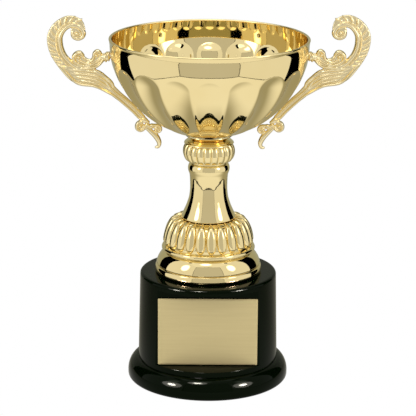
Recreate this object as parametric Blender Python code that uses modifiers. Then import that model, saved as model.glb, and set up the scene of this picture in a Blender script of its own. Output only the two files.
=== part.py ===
"""A two-handled presentation cup on a round black base, modelled as the stack of
pieces that one threaded rod clamps together. Blender 4.5, metres, +Z up.

The origin is the centre of the foot, on the surface that the trophy stands on.
The name plate faces -Y and the two handles lie in the XZ plane."""

import math

import bmesh
import bpy
from mathutils import Vector

MM = 0.001
GAP = 0.3 * MM  # clearance that touching pieces keep

# Bowl: a hemispherical shell, fluted below a plain band
BOWL_RADIUS = 63.5 * MM
BOWL_WALL = 1.0 * MM
RIM_HEIGHT = 224.3 * MM
FLUTES = 18
FLUTE_DEPTH = 2.4 * MM
FLUTE_WIDTH = 0.9  # of the pitch
FLUTE_TOP = 76.4  # degrees up from the bottom of the hemisphere
FLUTE_ARCH = 64.0  # where the round top of a flute begins
FLUTE_FOOT = 13.0  # where a flute has died away

# Base: a hollow moulding with a flat recess at the front
BASE_HEIGHT = 70.7 * MM
BASE_TOP_RADIUS = 44.0 * MM
BASE_WAIST_RADIUS = 45.2 * MM
BASE_WAIST_HEIGHT = 14.3 * MM
FOOT_RADIUS = 52.0 * MM
BASE_WALL = 2.6 * MM
RECESS_DEPTH = 30.2 * MM  # distance of the recess floor from the axis
RECESS_BOTTOM = 17.5 * MM
RECESS_TOP = 67.7 * MM
FELT_RADIUS = 48.6 * MM
FELT_THICKNESS = 2.0 * MM

# Name plate, 2 1/2 by 1 3/4 inches
PLATE_WIDTH = 63.5 * MM
PLATE_HEIGHT = 44.4 * MM
PLATE_THICKNESS = 0.6 * MM
PLATE_BOTTOM = 18.0 * MM
TAPE_THICKNESS = 0.4 * MM
TAPE_MARGIN = 2.0 * MM

# Stem pieces, by the height of each seat
FLANGE_SEAT = BASE_HEIGHT + GAP
DOME_SEAT = 85.6 * MM
NECK_SEAT = 159.2 * MM
STEM_WALL = 2.0 * MM
DOME_PETALS = 24
KNOB_LOBES = 20

# Rod and fasteners
ROD_RADIUS = 3.0 * MM
BORE_RADIUS = 3.3 * MM
ROD_BOTTOM = 4.0 * MM
ROD_TOP = 172.0 * MM
NUT_ACROSS_FLATS = 10.0 * MM
NUT_HEIGHT = 5.0 * MM
WEIGHT_RADIUS = 26.5 * MM
WEIGHT_THICKNESS = 10.0 * MM
HUB_RADIUS = 7.0 * MM
HUB_END = 24.0 * MM

# Handles: flat castings held by two screws each, from inside the bowl
HANDLE_THICKNESS = 4.8 * MM
UPPER_SCREW_ANGLE = 10.7  # degrees below the rim plane, seen from the bowl's centre
LOWER_SCREW_ANGLE = 45.0

PARTS = bpy.data.collections.new("cup_trophy")
CUTTERS = bpy.data.collections.new("cutters")


def material(name, colour, roughness, metallic):
    made = bpy.data.materials.new(name)
    made.use_nodes = True
    shader = made.node_tree.nodes["Principled BSDF"]
    shader.inputs["Base Color"].default_value = (*colour, 1.0)
    shader.inputs["Roughness"].default_value = roughness
    shader.inputs["Metallic"].default_value = metallic
    return made


def finish_part(obj, finish, root):
    """Puts a finished piece under the root empty, smooth shaded, with its own material."""
    obj.data.materials.append(material(obj.name, *finish))
    obj.parent = root
    if obj.type == "MESH":
        obj.data.shade_smooth()
        obj.data.set_sharp_from_angle(angle=math.radians(35))
    return obj


def make_cutter(obj):
    for collection in list(obj.users_collection):
        collection.objects.unlink(obj)
    CUTTERS.objects.link(obj)
    obj.hide_render = True
    obj.display_type = "WIRE"
    return obj


def cut(obj, cutter):
    """Takes the cutter's shape out of the object."""
    boolean = obj.modifiers.new(f"Cut {cutter.name}", "BOOLEAN")
    boolean.operation = "DIFFERENCE"
    boolean.object = cutter


def as_mesh(obj):
    """Replaces an object's data by its evaluated mesh, with coincident points welded."""
    bpy.context.view_layer.update()
    evaluated = obj.evaluated_get(bpy.context.evaluated_depsgraph_get())
    mesh = bpy.data.meshes.new_from_object(evaluated)
    bm = bmesh.new()
    bm.from_mesh(mesh)
    bmesh.ops.remove_doubles(bm, verts=bm.verts, dist=0.00001)
    bm.to_mesh(mesh)
    bm.free()
    name = obj.name
    made = bpy.data.objects.new(name, mesh)
    made.matrix_world = obj.matrix_world
    PARTS.objects.link(made)
    bpy.data.objects.remove(obj)
    made.name = name
    return made


def arc(centre, radii, start, end, count):
    """Points of an ellipse arc in the (radius, height) plane; angles in degrees."""
    points = []
    for i in range(count + 1):
        angle = math.radians(start + (end - start) * i / count)
        r = centre[0] + radii[0] * math.cos(angle)
        z = centre[1] + radii[1] * math.sin(angle)
        points.append((r, z))
    return points


def in_mm(points):
    return [(r * MM, z * MM) for r, z in points]


def turned(name, profile, steps, closed=True):
    """A turned piece. The profile runs down its outer side and back up its bore."""
    count = len(profile)
    edges = [(i, (i + 1) % count) for i in range(count if closed else count - 1)]
    mesh = bpy.data.meshes.new(name)
    mesh.from_pydata([(r, 0.0, z) for r, z in profile], edges, [])
    obj = bpy.data.objects.new(name, mesh)
    PARTS.objects.link(obj)
    screw = obj.modifiers.new("Turn", "SCREW")
    screw.steps = screw.render_steps = steps
    screw.use_merge_vertices = True
    screw.merge_threshold = 0.00001
    return obj


def carved(obj, depth_at):
    """Sinks each point of a turned piece towards the axis by depth_at(angle, r, z)."""
    obj = as_mesh(obj)
    for vertex in obj.data.vertices:
        x, y, z = vertex.co
        r = math.hypot(x, y)
        sink = depth_at(math.atan2(y, x), r, z)
        if sink > 0:
            vertex.co.x *= 1 - sink / r
            vertex.co.y *= 1 - sink / r
    return obj


def washer(name, outer, inner, bottom, thickness, steps=16):
    top = bottom + thickness
    return turned(
        name, [(inner, top), (outer, top), (outer, bottom), (inner, bottom)], steps
    )


def box(name, low, high):
    bm = bmesh.new()
    bmesh.ops.create_cube(bm, size=1.0)
    size = Vector(high) - Vector(low)
    for vertex in bm.verts:
        vertex.co = (vertex.co + Vector((0.5, 0.5, 0.5))) * size + Vector(low)
    mesh = bpy.data.meshes.new(name)
    bm.to_mesh(mesh)
    bm.free()
    obj = bpy.data.objects.new(name, mesh)
    PARTS.objects.link(obj)
    return obj


def hex_nut(name, bottom):
    """A flat outline, hexagon and bore, extruded to the nut's height."""
    curve = bpy.data.curves.new(name, "CURVE")
    curve.dimensions = "2D"
    curve.fill_mode = "BOTH"
    curve.extrude = NUT_HEIGHT / 2
    corner = NUT_ACROSS_FLATS / 2 / math.cos(math.radians(30))
    for sides, radius in ((6, corner), (16, BORE_RADIUS)):
        spline = curve.splines.new("POLY")
        spline.points.add(sides - 1)
        for i, point in enumerate(spline.points):
            angle = 2 * math.pi * i / sides
            point.co = (radius * math.cos(angle), radius * math.sin(angle), 0, 1)
        spline.use_cyclic_u = True
    obj = bpy.data.objects.new(name, curve)
    obj.location.z = bottom + NUT_HEIGHT / 2
    PARTS.objects.link(obj)
    return as_mesh(obj)


# ---------------------------------------------------------------- the cup


def flute_depth(angle, r, z):
    """How far the bowl's wall is pressed in; ridges stand at +X and every pitch on."""
    up = math.degrees(math.acos(min(1, max(-1, (RIM_HEIGHT - z) / BOWL_RADIUS))))
    if not FLUTE_FOOT < up < FLUTE_TOP:
        return 0
    width = FLUTE_WIDTH
    if up > FLUTE_ARCH:
        width *= math.sqrt(1 - ((up - FLUTE_ARCH) / (FLUTE_TOP - FLUTE_ARCH)) ** 2)
    across = (angle * FLUTES / (2 * math.pi)) % 1 * 2 - 1  # -1 and 1 on the ridges
    if abs(across) >= width:
        return 0
    fade = min(1, (up - FLUTE_FOOT) / 12) * min(1, width / 0.5)
    return FLUTE_DEPTH * fade * (1 - (across / width) ** 2)


def make_bowl():
    centre = (0, RIM_HEIGHT)
    reach = (BOWL_RADIUS, BOWL_RADIUS)
    hole = math.degrees(math.asin(BORE_RADIUS / BOWL_RADIUS))
    outer = (
        arc(centre, reach, 0, FLUTE_TOP - 90, 2)
        + arc(centre, reach, FLUTE_TOP - 96, -72, 7)
        + arc(centre, reach, -80, hole - 90, 1)
    )
    bowl = carved(turned("bowl", outer, 3 * FLUTES, closed=False), flute_depth)
    wall = bowl.modifiers.new("Wall", "SOLIDIFY")
    wall.thickness = BOWL_WALL
    wall.offset = -1
    wall.use_even_offset = True
    return bowl


def bowl_direction(sign, below):
    """Unit vector from the bowl's centre, below degrees under the rim plane."""
    angle = math.radians(below)
    return Vector((sign * math.cos(angle), 0, -math.sin(angle)))


def on_bowl_axis(obj, sign, below, distance):
    """Stands a piece on a line out of the bowl's centre, its +Z pointing outwards."""
    centre = Vector((0, 0, RIM_HEIGHT))
    obj.location = centre + bowl_direction(sign, below) * distance
    obj.rotation_euler.y = sign * math.radians(90 + below)


def screw_piece(name, shank, head, length, head_height):
    """A pan-head screw on its own axis: the head's seat at 0, the shank upwards."""
    profile = [
        (0, length),
        (shank * 0.7, length),
        (shank, length - shank * 0.5),
        (shank, 0),
        (head, 0),
        (head, -0.5 * head_height),
        (0.6 * head, -head_height),
        (0, -head_height),
    ]
    return turned(name, profile, 12, closed=False)


def screw_hole(name, radius, sign, below):
    """A cutter through the bowl's wall and into the handle."""
    length = 7 * MM
    profile = [(0, length), (radius, length), (radius, -length / 2), (0, -length / 2)]
    hole = turned(name, profile, 12, closed=False)
    on_bowl_axis(hole, sign, below, BOWL_RADIUS)
    return make_cutter(hole)


# Outline of the right-hand handle as (x, z) in millimetres, anticlockwise
VOLUTE = [(88.6, 228.4), (86.4, 224.6), (82.4, 222.6), (78.6, 224.8), (77.3, 229.0),
          (80.2, 235.0), (86.8, 238.3), (93.6, 236.6)]  # fmt: skip
BACK = [(98.9, 231.6), (102.3, 222.0), (100.2, 212.6), (94.2, 204.6), (85.6, 196.0),
        (80.0, 193.2), (71.0, 191.4), (61.5, 186.8), (52.2, 179.6), (46.2, 173.4)]  # fmt: skip
FOOT_SCROLL = [(47.4, 168.4), (44.4, 163.5), (39.4, 164.6), (34.8, 160.2), (33.2, 156.4),
               (34.8, 153.4), (31.8, 152.8), (29.9, 157.0), (30.9, 162.4),
               (29.4, 166.2), (32.6, 169.5)]  # fmt: skip
BOWL_SIDE = [(37.6, 169.8), (43.0, 177.6), (50.0, 184.6), (58.0, 190.8), (60.2, 194.2),
             (64.6, 199.2), (69.2, 202.6), (68.4, 206.8), (61.0, 209.2), (62.0, 216.0)]  # fmt: skip
LEAF_CURLS = [(67.0, 215.0), (70.4, 217.2), (73.4, 215.2), (75.4, 210.2), (78.6, 212.0),
              (81.6, 216.4), (85.0, 214.8), (87.2, 211.0)]  # fmt: skip
INNER_SCROLL = [(90.6, 215.8), (92.2, 221.8)]


def handle_outline(name, sign):
    """The flat casting, cut out along its scrolls and stood up in the XZ plane."""
    points = VOLUTE + BACK + FOOT_SCROLL + BOWL_SIDE + LEAF_CURLS + INNER_SCROLL
    curve = bpy.data.curves.new(name, "CURVE")
    curve.dimensions = "2D"
    curve.fill_mode = "BOTH"
    curve.extrude = HANDLE_THICKNESS / 2
    curve.resolution_u = 2
    spline = curve.splines.new("BEZIER")
    spline.bezier_points.add(len(points) - 1)
    for knot, (x, z) in zip(spline.bezier_points, points):
        knot.co = (sign * x * MM, z * MM, 0)
        knot.handle_left_type = knot.handle_right_type = "AUTO"
    spline.use_cyclic_u = True
    obj = bpy.data.objects.new(name, curve)
    obj.rotation_euler.x = math.radians(90)
    PARTS.objects.link(obj)
    return as_mesh(obj)


def make_cup():
    """The bowl, its two handles and the screws that hold them."""
    made = [(make_bowl(), GOLD_MIRROR)]
    bowl = made[0][0]
    seat = BOWL_RADIUS + GAP
    envelope = turned(
        "bowl_envelope", arc((0, RIM_HEIGHT), (seat, seat), 90, -90, 48), 72, closed=False
    )
    make_cutter(envelope)
    for side, sign in (("left", -1), ("right", 1)):
        handle = handle_outline(f"handle_{side}", sign)
        cut(handle, envelope)
        for place, below, radius in (
            ("upper", UPPER_SCREW_ANGLE, 1.8 * MM),
            ("lower", LOWER_SCREW_ANGLE, 1.3 * MM),
        ):
            hole = screw_hole(f"{place}_{side}_hole", radius, sign, below)
            cut(bowl, hole)
            cut(handle, hole)
        upper = screw_piece(f"handle_screw_upper_{side}", 1.5 * MM, 2.7 * MM, 7 * MM, 1.8 * MM)
        lower = screw_piece(f"handle_screw_lower_{side}", 1.0 * MM, 1.9 * MM, 5 * MM, 1.2 * MM)
        ring = washer(f"handle_washer_{side}", 3.1 * MM, 1.8 * MM, 0, 0.6 * MM, 12)
        wall_inside = BOWL_RADIUS - BOWL_WALL
        on_bowl_axis(ring, sign, UPPER_SCREW_ANGLE, wall_inside - 1.1 * MM)
        on_bowl_axis(upper, sign, UPPER_SCREW_ANGLE, wall_inside - 1.4 * MM)
        on_bowl_axis(lower, sign, LOWER_SCREW_ANGLE, wall_inside - 1.4 * MM)
        made += [(handle, GOLD_SATIN), (upper, STEEL), (lower, STEEL), (ring, STEEL)]
    return made


# ---------------------------------------------------------------- the stem


def make_neck():
    """The dished ring that the round bottom of the bowl sits in."""
    sphere = BOWL_RADIUS + 1.2 * GAP
    top = arc((0, RIM_HEIGHT), (sphere, sphere), -87.0, -76.3, 4)
    outer = in_mm([(14.9, 161.4), (13.9, 160.4), (14.2, 159.2)])
    return turned("neck_ring", top + outer + [(BORE_RADIUS, NECK_SEAT)], 28)


def lobe_grooves(count, middle, half_height, depth, is_outer):
    """A depth_at for carved(): grooves on every other column of a lobed band."""

    def depth_at(angle, r, z):
        height = (z - middle) / half_height
        wave = (angle * count / (2 * math.pi)) % 1
        if abs(height) >= 1 or min(wave, 1 - wave) > 0.25 or not is_outer(r, z):
            return 0
        return depth * (1 - height**2)

    return depth_at


def make_knob():
    """A ball with lobes, between two small rings."""
    profile = (
        in_mm([(14.2, 158.9), (14.4, 158.2)])
        + arc((9.0 * MM, 151.9 * MM), (8.25 * MM, 8.4 * MM), 48, -58, 7)
        + in_mm([(12.5, 144.4), (12.2, 143.6), (3.3, 143.6), (3.3, 158.9)])
    )
    knob = turned("knob", profile, 2 * KNOB_LOBES)
    grooves = lobe_grooves(
        KNOB_LOBES, 151.6 * MM, 6.6 * MM, 1.1 * MM, lambda r, z: r > 12.8 * MM
    )
    return carved(knob, grooves)


def make_column():
    """A waisted tube with a bead at its top."""
    bead = arc((12.2 * MM, 140.6 * MM), (1.5 * MM, 1.7 * MM), 80, -60, 4)
    outer = in_mm(
        [(12.5, 137.6), (12.0, 131.5), (12.0, 125.5), (12.8, 120.8), (14.0, 116.6),
         (15.6, 112.9), (17.2, 110.2), (17.2, 109.0)]
    )  # fmt: skip
    inner = in_mm([(15.2, 109.0), (10.5, 122.0), (9.8, 137.0), (3.3, 137.0), (3.3, 143.0)])
    return turned("column", in_mm([(11.8, 143.0)]) + bead + outer + inner, 28)


def make_dome():
    """The domed foot of the stem, ringed by raised petals above a bead."""
    centre = (17.5 * MM, 91.0 * MM)
    reach = (10.9 * MM, 17.6 * MM)
    reach_inside = (reach[0] - STEM_WALL, reach[1] - STEM_WALL)
    profile = (
        arc(centre, reach, 84, 0, 7)
        + arc((28.4 * MM, 88.0 * MM), (1.6 * MM, 1.8 * MM), 60, -70, 4)
        + [(28.6 * MM, DOME_SEAT), (26.4 * MM, DOME_SEAT)]
        + arc(centre, reach_inside, 0, 80, 3)
        + [(BORE_RADIUS, centre[1] + reach_inside[1]), (BORE_RADIUS, centre[1] + reach[1])]
    )

    def on_outside(r, z):
        across = (r - centre[0]) / reach[0]
        up = (z - centre[1]) / reach[1]
        return across > 0 and across**2 + up**2 > 0.95

    dome = turned("petal_dome", profile, 2 * DOME_PETALS)
    return carved(dome, lobe_grooves(DOME_PETALS, 99 * MM, 8.4 * MM, 1.1 * MM, on_outside))


def make_flange():
    """The spreading foot ring that stands on the base: shoulder, groove and lip."""
    top = DOME_SEAT - GAP
    outer = in_mm([(28.2, 85.3), (29.4, 83.6), (31.2, 81.6), (33.0, 79.4), (33.8, 77.8),
                   (33.1, 77.2), (33.1, 76.8), (34.1, 76.2), (34.3, 74.8), (33.7, 72.6)])  # fmt: skip
    seat = [(32.8 * MM, FLANGE_SEAT), (30.6 * MM, FLANGE_SEAT)]
    inside = in_mm([(30.6, 76.0), (26.6, 82.9)])
    bore = [(BORE_RADIUS, inside[-1][1]), (BORE_RADIUS, top)]
    return turned("foot_flange", outer + seat + inside + bore, 36)


# ---------------------------------------------------------------- the base


def base_outline():
    """From the crown's edge down the drafted side and round the swelling foot."""
    crown = arc((BASE_TOP_RADIUS - 1 * MM, BASE_HEIGHT - 1 * MM), (1 * MM, 1 * MM), 90, 0, 3)
    swell = FOOT_RADIUS - BASE_WAIST_RADIUS + 0.4 * MM
    foot_height = 4.4 * MM
    foot = arc(
        (FOOT_RADIUS - swell, foot_height), (swell, BASE_WAIST_HEIGHT - foot_height), 87, 0, 6
    )
    under = arc((FOOT_RADIUS - 2.6 * MM, 2.9 * MM), (2.6 * MM, 2.6 * MM), 0, -90, 3)
    return crown + [(BASE_WAIST_RADIUS, BASE_WAIST_HEIGHT)] + foot + under


def make_base():
    """A hollow moulding: outer form, less the plate recess, less the cavity below."""
    steps = 44
    outline = base_outline()
    axis = [(BORE_RADIUS, outline[-1][1]), (BORE_RADIUS, BASE_HEIGHT)]
    base = turned("base", outline + axis, steps)
    recess = box(
        "plate_recess",
        (-0.06, -0.06, RECESS_BOTTOM),
        (0.06, -RECESS_DEPTH, RECESS_TOP),
    )
    cut(base, make_cutter(recess))

    rebate = FELT_RADIUS + 0.4 * MM
    inside = BASE_TOP_RADIUS - BASE_WALL
    ceiling = RECESS_TOP - BASE_WALL
    cavity = turned(
        "base_cavity",
        [
            (inside - 1 * MM, ceiling),
            (inside, ceiling - 1 * MM),
            (inside, BASE_WAIST_HEIGHT),
            (FOOT_RADIUS - 2 * BASE_WALL, 5 * MM),
            (FOOT_RADIUS - 2 * BASE_WALL, FELT_THICKNESS + GAP),
            (rebate, FELT_THICKNESS + GAP),
            (rebate, -1 * MM),
            (0, -1 * MM),
            (0, HUB_END),
            (HUB_RADIUS, HUB_END),
            (HUB_RADIUS, ceiling),
        ],
        steps,
    )
    behind_recess = box(
        "recess_wall",
        (-0.06, -0.06, RECESS_BOTTOM - BASE_WALL),
        (0.06, -RECESS_DEPTH + BASE_WALL, 0.09),
    )
    cut(cavity, make_cutter(behind_recess))
    cut(base, make_cutter(cavity))
    return base


def make_base_group():
    """The base with what it holds inside and what is stuck to it."""
    weight_bottom = HUB_END - GAP - WEIGHT_THICKNESS
    washer_bottom = weight_bottom - GAP - 1.2 * MM
    lock_bottom = washer_bottom - GAP - 1.0 * MM
    nut_bottom = lock_bottom - GAP - NUT_HEIGHT
    felt = washer("felt_pad", FELT_RADIUS, 0, 0, FELT_THICKNESS, 44)
    weight = washer(
        "base_weight", WEIGHT_RADIUS, BORE_RADIUS, weight_bottom, WEIGHT_THICKNESS, 28
    )
    tape_back = -RECESS_DEPTH - GAP
    tape_front = tape_back - TAPE_THICKNESS
    plate_back = tape_front - GAP
    half = PLATE_WIDTH / 2
    plate_top = PLATE_BOTTOM + PLATE_HEIGHT
    tape = box(
        "plate_tape",
        (-half + TAPE_MARGIN, tape_front, PLATE_BOTTOM + TAPE_MARGIN),
        (half - TAPE_MARGIN, tape_back, plate_top - TAPE_MARGIN),
    )
    plate = box(
        "name_plate",
        (-half, plate_back - PLATE_THICKNESS, PLATE_BOTTOM),
        (half, plate_back, plate_top),
    )
    chamfer = plate.modifiers.new("Edge", "BEVEL")
    chamfer.width = 0.15 * MM
    chamfer.segments = 1
    return [
        (make_base(), BLACK_GLOSS),
        (weight, IRON),
        (washer("base_washer", 10 * MM, BORE_RADIUS, washer_bottom, 1.2 * MM), STEEL),
        (washer("base_lock_washer", 5.4 * MM, BORE_RADIUS, lock_bottom, 1.0 * MM), STEEL),
        (hex_nut("base_nut", nut_bottom), STEEL),
        (felt, FELT),
        (tape, TAPE),
        (plate, GOLD_BRUSHED),
    ]


def make_rod_group():
    """The rod, and the nut and washer that close the stack inside the bowl."""
    chamfer = 0.6 * MM
    rod = turned(
        "tie_rod",
        [
            (0, ROD_TOP),
            (ROD_RADIUS - chamfer, ROD_TOP),
            (ROD_RADIUS, ROD_TOP - chamfer),
            (ROD_RADIUS, ROD_BOTTOM + chamfer),
            (ROD_RADIUS - chamfer, ROD_BOTTOM),
            (0, ROD_BOTTOM),
        ],
        16,
        closed=False,
    )
    washer_bottom = 162.8 * MM
    nut_bottom = washer_bottom + 1.2 * MM + GAP
    return [
        (rod, STEEL),
        (washer("bowl_washer", 9 * MM, BORE_RADIUS, washer_bottom, 1.2 * MM), STEEL),
        (hex_nut("bowl_nut", nut_bottom), STEEL),
    ]


GOLD_MIRROR = ((0.76, 0.61, 0.32), 0.08, 1.0)
GOLD_SATIN = ((0.83, 0.72, 0.45), 0.32, 1.0)
GOLD_BRUSHED = ((0.70, 0.60, 0.36), 0.40, 1.0)
BLACK_GLOSS = ((0.012, 0.015, 0.011), 0.12, 0.0)
STEEL = ((0.60, 0.60, 0.58), 0.35, 1.0)
IRON = ((0.16, 0.16, 0.17), 0.70, 1.0)
FELT = ((0.02, 0.05, 0.03), 0.95, 0.0)
TAPE = ((0.82, 0.82, 0.78), 0.70, 0.0)


def main():
    for obj in list(bpy.data.objects):
        bpy.data.objects.remove(obj)
    scene = bpy.context.scene.collection
    scene.children.link(PARTS)
    scene.children.link(CUTTERS)
    root = bpy.data.objects.new("trophy_origin", None)
    PARTS.objects.link(root)
    stem_makers = (make_neck, make_knob, make_column, make_dome, make_flange)
    stem = [(make(), GOLD_MIRROR) for make in stem_makers]
    for obj, finish in make_cup() + stem + make_base_group() + make_rod_group():
        finish_part(obj, finish, root)


main()
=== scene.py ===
"""The looks of a two-handled gold cup trophy on a black base, around its CAD frame.

The trophy's lengths are in millimetres until a mesh is made, and the studio's are in
metres. Angles go round the axis in degrees from the front, -Y, towards +X."""

import math

import bmesh
import bpy
import numpy as np
from mathutils import Matrix, Vector


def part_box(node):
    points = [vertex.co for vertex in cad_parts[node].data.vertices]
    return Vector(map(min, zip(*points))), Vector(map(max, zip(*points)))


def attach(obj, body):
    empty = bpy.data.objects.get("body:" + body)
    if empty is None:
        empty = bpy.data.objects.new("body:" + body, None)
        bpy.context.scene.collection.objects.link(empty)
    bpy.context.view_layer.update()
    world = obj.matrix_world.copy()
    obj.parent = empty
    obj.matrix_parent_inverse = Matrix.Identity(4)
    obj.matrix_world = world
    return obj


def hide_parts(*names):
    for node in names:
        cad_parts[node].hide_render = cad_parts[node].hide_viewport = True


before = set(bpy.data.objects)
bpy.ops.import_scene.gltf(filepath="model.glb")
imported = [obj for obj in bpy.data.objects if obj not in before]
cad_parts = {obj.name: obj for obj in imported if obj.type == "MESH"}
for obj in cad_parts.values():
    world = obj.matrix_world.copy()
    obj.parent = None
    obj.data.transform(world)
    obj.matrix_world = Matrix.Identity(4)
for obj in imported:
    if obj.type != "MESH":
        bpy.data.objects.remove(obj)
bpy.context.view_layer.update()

MM = 0.001


def box_mm(node):
    low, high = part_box(node)
    return low / MM, high / MM


# Driving sizes, from the CAD frame
RIM_HEIGHT = box_mm("bowl")[1].z
SHELL_RADIUS = box_mm("bowl")[1].x - 0.6  # the rolled rim stands proud of the shell
FOOT_RADIUS = box_mm("base")[1].x
BASE_HEIGHT = box_mm("base")[1].z
PLATE_LOW, PLATE_HIGH = box_mm("name_plate")

SHELL_WALL = 1.0
RIM_BEAD = (0.95, 0.75)  # half width and half height of the rolled rim
BORE = 3.3
GAP = 0.3  # between pieces that touch
FLUTES = 18
FLUTE_DEPTH = 2.4
FLUTE_WIDTH = 0.9  # of the pitch
FLUTE_TOP = 76.4  # degrees up from the bottom of the bowl
FLUTE_ARCH = 69.0  # where their sides begin to close to an arch
FLUTE_FOOT = 6.0
FLUTE_FADE = 52.0  # degrees over which they deepen from their foot
BOWL_DROP = 2.5  # how far the wall runs straight down from the rim before it rounds
KNOB_RIBS = 20
PETALS = 24
CROWN_RISE = 1.1  # how far the moulding's polished top stands over the CAD's
RECESS = 30.2  # distance of the flat behind the plate from the axis


# ------------------------------------------------------------------ mesh tools


def smoothstep(low, high, value):
    t = np.clip((value - low) / (high - low), 0, 1)
    return t * t * (3 - 2 * t)


def arc(centre, radii, start, end, count):
    """Points of an ellipse arc in the (radius, height) plane; angles in degrees."""
    angles = np.radians(np.linspace(start, end, count + 1))
    return [
        (centre[0] + radii[0] * math.cos(a), centre[1] + radii[1] * math.sin(a))
        for a in angles
    ]


def smooth_path(points, spacing):
    """Catmull-Rom points through the given ones, about that far apart. Every column
    is smoothed, so that a radius can go along with a place."""
    knots = np.array(points, float)
    first = 2 * knots[0] - knots[1]
    last = 2 * knots[-1] - knots[-2]
    padded = np.vstack([first, knots, last])
    made = []
    for a, b, c, d in zip(padded, padded[1:], padded[2:], padded[3:]):
        count = max(1, round(float(np.linalg.norm((c - b)[:2])) / spacing))
        t = np.arange(count)[:, None] / count
        cubic = 3 * b - a - 3 * c + d
        square = 2 * a - 5 * b + 4 * c - d
        made.append(0.5 * (2 * b + (c - a) * t + square * t**2 + cubic * t**3))
    made.append(knots[-1:])
    return np.vstack(made)


def mesh_object(name, vertices, faces):
    mesh = bpy.data.meshes.new(name)
    mesh.from_pydata(np.asarray(vertices) * MM, [], faces)
    obj = bpy.data.objects.new(name, mesh)
    bpy.context.scene.collection.objects.link(obj)
    return obj


def grid_faces(rows, columns, wrap_rows, start=0):
    """Quads between neighbouring points of a grid of rings, numbered row by row."""
    i = np.arange(rows if wrap_rows else rows - 1)[:, None]
    j = np.arange(columns)[None, :]
    i2, j2 = (i + 1) % rows, (j + 1) % columns
    corners = (i * columns + j, i * columns + j2, i2 * columns + j2, i2 * columns + j)
    return start + np.stack(np.broadcast_arrays(*corners), -1).reshape(-1, 4)


def tidy(obj, sharp=35):
    """Welds points that coincide, turns the faces outwards and shades them smooth."""
    bm = bmesh.new()
    bm.from_mesh(obj.data)
    bmesh.ops.remove_doubles(bm, verts=bm.verts, dist=0.000002)
    bmesh.ops.recalc_face_normals(bm, faces=bm.faces)
    bm.to_mesh(obj.data)
    bm.free()
    obj.data.shade_smooth()
    obj.data.set_sharp_from_angle(angle=math.radians(sharp))
    return obj


def loft(name, points, closed=True, sharp=35):
    """A piece from rings of points, rows x columns x 3. When the last ring doesn't
    run on into the first, both are closed by a flat face."""
    rows, columns = points.shape[:2]
    faces = grid_faces(rows, columns, closed).tolist()
    if not closed:
        faces.append(list(range(columns)))
        faces.append(list(range((rows - 1) * columns, rows * columns)))
    return tidy(mesh_object(name, points.reshape(-1, 3), faces), sharp)


def profile_normals(profile):
    run = np.roll(profile, -1, 0) - np.roll(profile, 1, 0)
    run /= np.linalg.norm(run, axis=1)[:, None] + 1e-9
    return np.stack([-run[:, 1], run[:, 0]], -1)


def turned(name, profile, columns=160, lift=None, sharp=35):
    """A turned piece. The closed profile of (radius, height) runs down its outer side,
    and lift, rows x columns, raises the surface along the profile's normal."""
    profile = np.array(profile, float)
    angles = np.radians(np.arange(columns) * 360 / columns)
    r = np.repeat(profile[:, :1], columns, 1)
    z = np.repeat(profile[:, 1:], columns, 1)
    if lift is not None:
        normal = profile_normals(profile)
        r = r + lift * normal[:, :1]
        z = z + lift * normal[:, 1:]
    points = np.stack([r * np.sin(angles), -r * np.cos(angles), z], -1)
    return loft(name, points, True, sharp)


def round_the_axis(count, columns, phase=0.0):
    """Where each column is across its repeat, from -1 to 1, with 0 in the middle."""
    pitch = 360 / count
    angle = np.arange(columns) * 360 / columns - phase
    return ((angle + pitch / 2) % pitch - pitch / 2) / (pitch / 2)


# ------------------------------------------------------------------ the bowl


def flute_sink(across, up):
    """How deep the shell is pressed in: hollow flutes with rounded arches on top and
    narrow ridges between, dying away towards the bottom of the bowl."""
    arch = np.clip((up - FLUTE_ARCH) / (FLUTE_TOP - FLUTE_ARCH), 0, None)
    hollow = 1 - (across / FLUTE_WIDTH) ** 2 - arch**2
    edge_softness = 0.07
    hollow = (hollow + np.sqrt(hollow**2 + edge_softness**2)) / 2
    return FLUTE_DEPTH * hollow * smoothstep(FLUTE_FOOT, FLUTE_FOOT + FLUTE_FADE, up)


def make_bowl():
    """The fluted shell, outside and in, with its rolled rim and the hole for the rod."""
    bottom = math.degrees(math.asin(BORE / SHELL_RADIUS))
    up = np.concatenate([np.arange(89, 60, -0.8), np.arange(60, 8, -1.3), [bottom]])
    inside = SHELL_RADIUS - SHELL_WALL
    bead = (SHELL_RADIUS - 0.35, RIM_HEIGHT - 0.3)
    drop_starts, drop_full = 40, 82

    def shell(radius, degrees_up):
        angles = np.radians(degrees_up)
        drop = BOWL_DROP * smoothstep(drop_starts, drop_full, degrees_up)
        heights = RIM_HEIGHT - drop - radius * np.cos(angles)
        return np.stack([radius * np.sin(angles), heights], -1)

    outer = shell(SHELL_RADIUS, up)
    inner = shell(inside, up[::-1])
    height_up = np.degrees(np.arccos(np.clip((RIM_HEIGHT - outer[:, 1]) / SHELL_RADIUS, 0, 1)))
    rim_out = arc(bead, RIM_BEAD, 90, -40, 10)
    rim_in = arc(bead, RIM_BEAD, 220, 105, 9)
    columns = 24 * FLUTES
    across = round_the_axis(FLUTES, columns)[None, :]
    pressed = flute_sink(across, height_up[:, None])
    plain_out, plain_in = np.zeros((len(rim_out), columns)), np.zeros((len(rim_in), columns))
    lift = np.vstack([plain_out, -pressed, pressed[::-1], plain_in])
    profile = np.vstack([rim_out, outer, inner, rim_in])
    return turned("bowl_shell", profile, columns, lift)


# ------------------------------------------------------------------ the stem


def make_neck_ring():
    """The flared ring under the bowl."""
    dish = [(4.0, 160.9), (9.0, 161.4), (13.0, 162.1), (15.2, 162.6)]
    side = [(15.3, 162.3), (14.6, 161.7), (13.2, 161.1), (12.1, 160.5), (11.6, 159.9)]
    under = [(11.4, 159.8), (4.0, 159.8)]
    return turned("neck_collar", dish + smooth_path(side, 0.2).tolist() + under, 96)


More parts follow.
